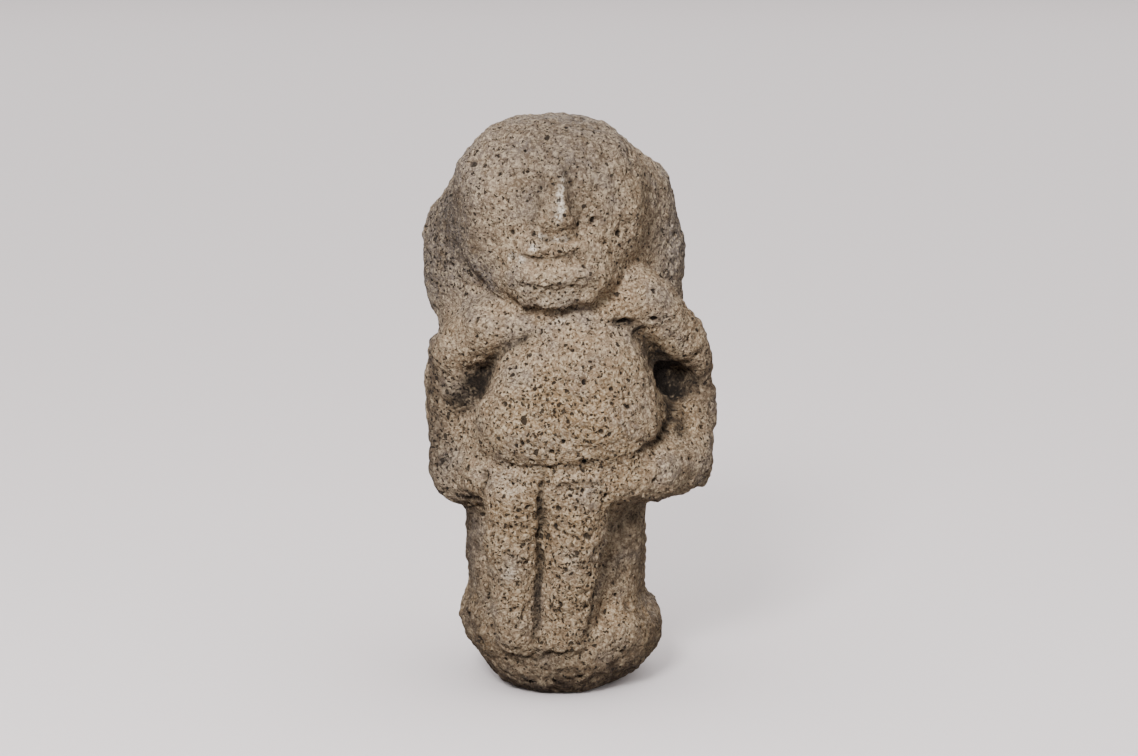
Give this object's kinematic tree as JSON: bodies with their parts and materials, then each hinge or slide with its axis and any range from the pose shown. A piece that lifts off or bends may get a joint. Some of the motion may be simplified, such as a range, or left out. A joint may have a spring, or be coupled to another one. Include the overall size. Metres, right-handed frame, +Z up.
{
  "type": "double-headed lava rock sculpture",
  "caption": "Squat back-to-back figure carved from one block of vesicular lava rock, with raised knees and hands on the belly, standing on a rounded base.",
  "frame": {"origin": "middle of the flat underside that the figure stands on", "axes": "+Z up along the figure, the front figure looks along -Y, and its left hand is towards +X"},
  "size_m": [0.133, 0.1274, 0.2568],
  "materials": {
    "lava_rock": "rough, porous, unpolished"
  },
  "bodies": {
    "root": {"lava_rock_figure": "lava_rock"}
  },
  "joints": []
}
